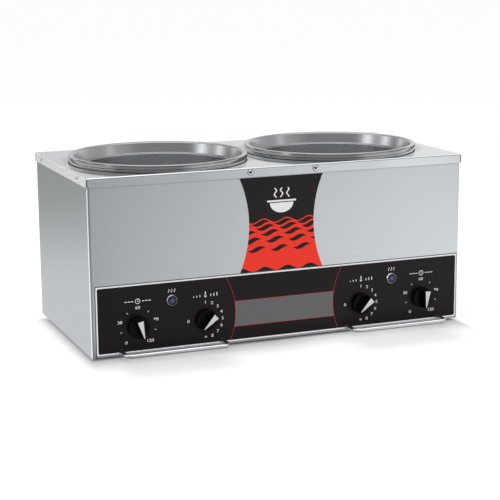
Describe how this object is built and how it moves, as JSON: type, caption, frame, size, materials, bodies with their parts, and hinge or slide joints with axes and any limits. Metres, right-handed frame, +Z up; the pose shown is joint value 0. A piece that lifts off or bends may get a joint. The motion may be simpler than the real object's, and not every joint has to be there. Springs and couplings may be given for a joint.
{
  "type": "food warmer",
  "caption": "Countertop electric food warmer with round wells, lift-out stainless insets, dial controls with indicator lamps, and wire knob guards.",
  "frame": {"origin": "on the table, under the middle of the whole object's outline", "axes": "+X to the right as seen from the front, +Y to the back, +Z up"},
  "size_m": [0.5462, 0.3131, 0.2488],
  "materials": {
    "stainless_sheet": "fine brushed",
    "stainless_drawn": "spun satin",
    "element_sheath": "dull dark sheath",
    "plate_aluminised": "dull",
    "zinc_steel": "zinc plated",
    "insulation_wool": "mineral wool",
    "control_body": "moulded",
    "capillary_brass": "drawn tube",
    "panel_border": "satin",
    "panel_black": "printed film",
    "label_print": "printed film",
    "chrome_wire": "bright plated",
    "lamp_chrome": "bright plated",
    "lens_blue": "clear tinted",
    "knob_black": "moulded",
    "pointer_pale": "moulded",
    "terminal_pale": "moulded",
    "gland_black": "moulded",
    "rubber_black": "matt"
  },
  "bodies": {
    "case": {"back_panel": "stainless_sheet", "back_screws": "zinc_steel", "base_plate": "stainless_sheet", "base_screws": "zinc_steel", "block_screws": "zinc_steel", "center_label": "label_print", "control_nuts": "zinc_steel", "control_panel": "panel_border", "cord_gland": "gland_black", "deck_screws": "zinc_steel", "foot_screws": "zinc_steel", "gland_nut": "gland_black", "guard_straps": "zinc_steel", "heater_nuts": "zinc_steel", "lamp_nuts": "zinc_steel", "left_heater_element": "element_sheath", "left_heater_plate": "plate_aluminised", "left_insulation": "insulation_wool", "left_knob_guard": "chrome_wire", "left_lamp_bezel": "lamp_chrome", "left_lamp_body": "control_body", "left_lamp_lens": "lens_blue", "left_limit_switch": "control_body", "left_thermostat": "control_body", "left_thermostat_bulb": "capillary_brass", "left_timer": "control_body", "left_well": "stainless_drawn", "panel_overlay": "panel_black", "right_heater_element": "element_sheath", "right_heater_plate": "plate_aluminised", "right_insulation": "insulation_wool", "right_knob_guard": "chrome_wire", "right_lamp_bezel": "lamp_chrome", "right_lamp_body": "control_body", "right_lamp_lens": "lens_blue", "right_limit_switch": "control_body", "right_thermostat": "control_body", "right_thermostat_bulb": "capillary_brass", "right_timer": "control_body", "right_well": "stainless_drawn", "rubber_feet": "rubber_black", "strap_screws": "zinc_steel", "terminal_block": "terminal_pale", "top_deck": "stainless_sheet", "wrapper": "stainless_sheet"},
    "left_temperature_knob": {"left_temperature_knob": "knob_black", "left_temperature_pointer": "pointer_pale", "left_temperature_shaft": "zinc_steel"},
    "right_temperature_knob": {"right_temperature_knob": "knob_black", "right_temperature_pointer": "pointer_pale", "right_temperature_shaft": "zinc_steel"},
    "left_timer_knob": {"left_timer_knob": "knob_black", "left_timer_pointer": "pointer_pale", "left_timer_shaft": "zinc_steel"},
    "right_timer_knob": {"right_timer_knob": "knob_black", "right_timer_pointer": "pointer_pale", "right_timer_shaft": "zinc_steel"},
    "left_inset": {"left_inset": "stainless_drawn"},
    "right_inset": {"right_inset": "stainless_drawn"}
  },
  "joints": [
    {"name": "left_temperature_turn", "type": "hinge", "parent": "case", "child": "left_temperature_knob", "pos_m": [-0.11275, -0.12695, 0.0405], "axis": [0, 1, 0], "range_deg": [-137, 133]},
    {"name": "right_temperature_turn", "type": "hinge", "parent": "case", "child": "right_temperature_knob", "pos_m": [0.11675, -0.12695, 0.0405], "axis": [0, 1, 0], "range_deg": [-137, 133]},
    {"name": "left_timer_turn", "type": "hinge", "parent": "case", "child": "left_timer_knob", "pos_m": [-0.20665, -0.12695, 0.0405], "axis": [0, 1, 0], "range_deg": [-127, 153]},
    {"name": "right_timer_turn", "type": "hinge", "parent": "case", "child": "right_timer_knob", "pos_m": [0.21065, -0.12695, 0.0405], "axis": [0, 1, 0], "range_deg": [-146, 134]},
    {"name": "left_inset_lift", "type": "slide", "parent": "case", "child": "left_inset", "axis": [0, 0, 1], "range_m": [0, 0.24]},
    {"name": "right_inset_lift", "type": "slide", "parent": "case", "child": "right_inset", "axis": [0, 0, 1], "range_m": [0, 0.24]}
  ]
}
